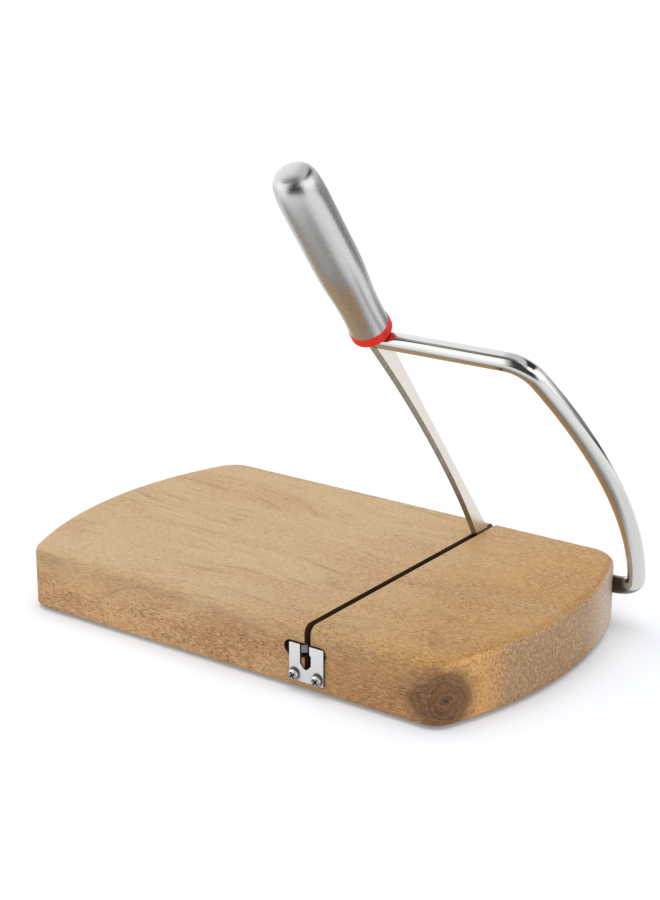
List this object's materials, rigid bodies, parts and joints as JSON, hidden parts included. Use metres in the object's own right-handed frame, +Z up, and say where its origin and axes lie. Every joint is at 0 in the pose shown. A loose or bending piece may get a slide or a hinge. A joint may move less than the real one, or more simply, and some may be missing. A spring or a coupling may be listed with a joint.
{
  "type": "cheese slicer",
  "caption": "Wooden cheese board with a slot and a hinged blade frame: a bent rod bow, a straight blade and a metal handle that cuts down through the slot into a catch.",
  "frame": {"origin": "centre of the board's underside; the feet reach 2 mm lower", "axes": "+X along the board towards the bow, +Y to the back edge where the blade frame is hinged, +Z up"},
  "size_m": [0.3083, 0.1912, 0.2574],
  "materials": {
    "oiled_wood": "oiled hardwood with open grain",
    "red_rubber": "satin moulded red",
    "bright_plate": "bright pressed sheet",
    "screw_metal": "bright plated screws",
    "spring_steel": "plain spring steel",
    "polished_steel": "polished stainless steel",
    "ground_steel": "satin ground blade steel",
    "brushed_steel": "stainless steel brushed round the handle",
    "core_plastic": "plain moulded plastic"
  },
  "bodies": {
    "base": {"board": "oiled_wood", "foot_front_left": "red_rubber", "foot_front_right": "red_rubber", "foot_rear_left": "red_rubber", "foot_rear_right": "red_rubber", "front_plate": "bright_plate", "plate_screw_left": "screw_metal", "plate_screw_right": "screw_metal", "catch_spring_left": "spring_steel", "catch_spring_right": "spring_steel"},
    "blade_frame": {"bow": "polished_steel", "blade": "ground_steel", "collar": "red_rubber", "handle_shell": "brushed_steel", "handle_core": "core_plastic", "lock_pin": "spring_steel"}
  },
  "joints": [
    {"name": "blade_frame_hinge", "type": "hinge", "parent": "base", "child": "blade_frame", "pos_m": [0.054, 0.077, 0.0188], "axis": [-1, 0, 0], "range_deg": [-54, 127]}
  ]
}
